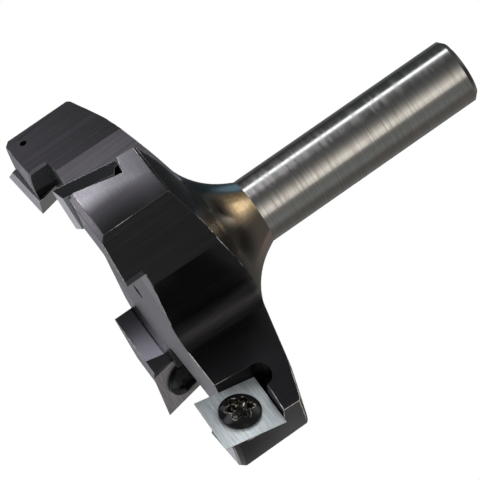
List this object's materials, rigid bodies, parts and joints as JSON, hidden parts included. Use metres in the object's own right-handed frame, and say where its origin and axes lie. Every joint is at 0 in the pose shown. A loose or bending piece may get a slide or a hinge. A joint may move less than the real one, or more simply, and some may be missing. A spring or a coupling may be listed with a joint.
{
  "type": "surfacing router bit",
  "caption": "Wide surfacing cutter for a router: a turned head with milled wings on a straight shank, each wing carrying a screwed square carbide insert.",
  "frame": {"origin": "on the shank's axis, in the plane that the inserts' lowest corners cut in, where the bit stands on its head", "axes": "+Z along the shank, from the cutting plane to the end held in the collet; the first wing points along +X"},
  "size_m": [0.0774, 0.0774, 0.0763],
  "materials": {
    "steel_body": "ground shank, blackened head",
    "carbide": "ground",
    "screw_black": "glossy black"
  },
  "bodies": {
    "root": {"cutter_body": "steel_body", "insert_1": "carbide", "insert_2": "carbide", "insert_3": "carbide", "insert_4": "carbide", "insert_screw_1": "screw_black", "insert_screw_2": "screw_black", "insert_screw_3": "screw_black", "insert_screw_4": "screw_black"}
  },
  "joints": []
}
